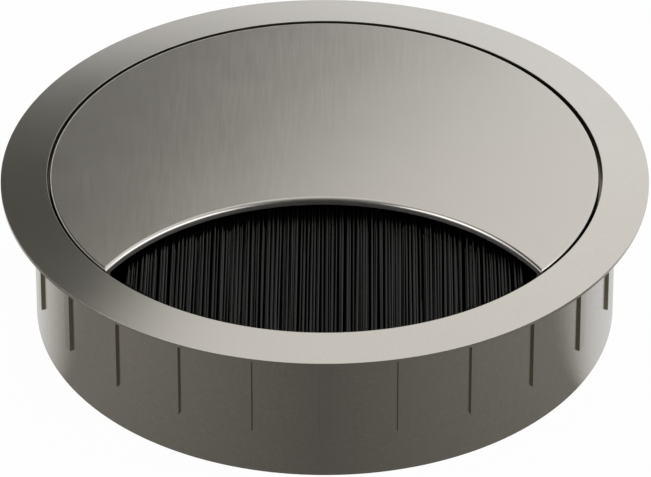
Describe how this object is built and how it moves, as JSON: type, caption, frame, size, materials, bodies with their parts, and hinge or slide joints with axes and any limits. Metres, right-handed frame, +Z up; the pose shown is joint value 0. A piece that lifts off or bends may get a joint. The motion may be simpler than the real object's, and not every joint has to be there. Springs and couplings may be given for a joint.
{
  "type": "cable grommet",
  "caption": "Round desk cable grommet: a cast ring that drops into a drilled hole, with a lift-out cover whose crescent opening is closed by a brush.",
  "frame": {"origin": "on the ring's axis, at the lower edge of its skirt", "axes": "+Z up through the cover, -Y towards the cable opening, +X to the right seen from the opening's side"},
  "size_m": [0.088, 0.088, 0.022],
  "materials": {
    "ring_metal": "satin",
    "cover_metal": "satin",
    "holder_plastic": "matte",
    "channel_steel": "satin",
    "wire_steel": "satin",
    "bristle_nylon": "satin",
    "screw_steel": "satin"
  },
  "bodies": {
    "root": {"outer_ring": "ring_metal", "cover": "cover_metal", "brush_holder": "holder_plastic", "brush_channel": "channel_steel", "core_wire": "wire_steel", "bristles": "bristle_nylon", "holder_screws": "screw_steel"}
  },
  "joints": []
}
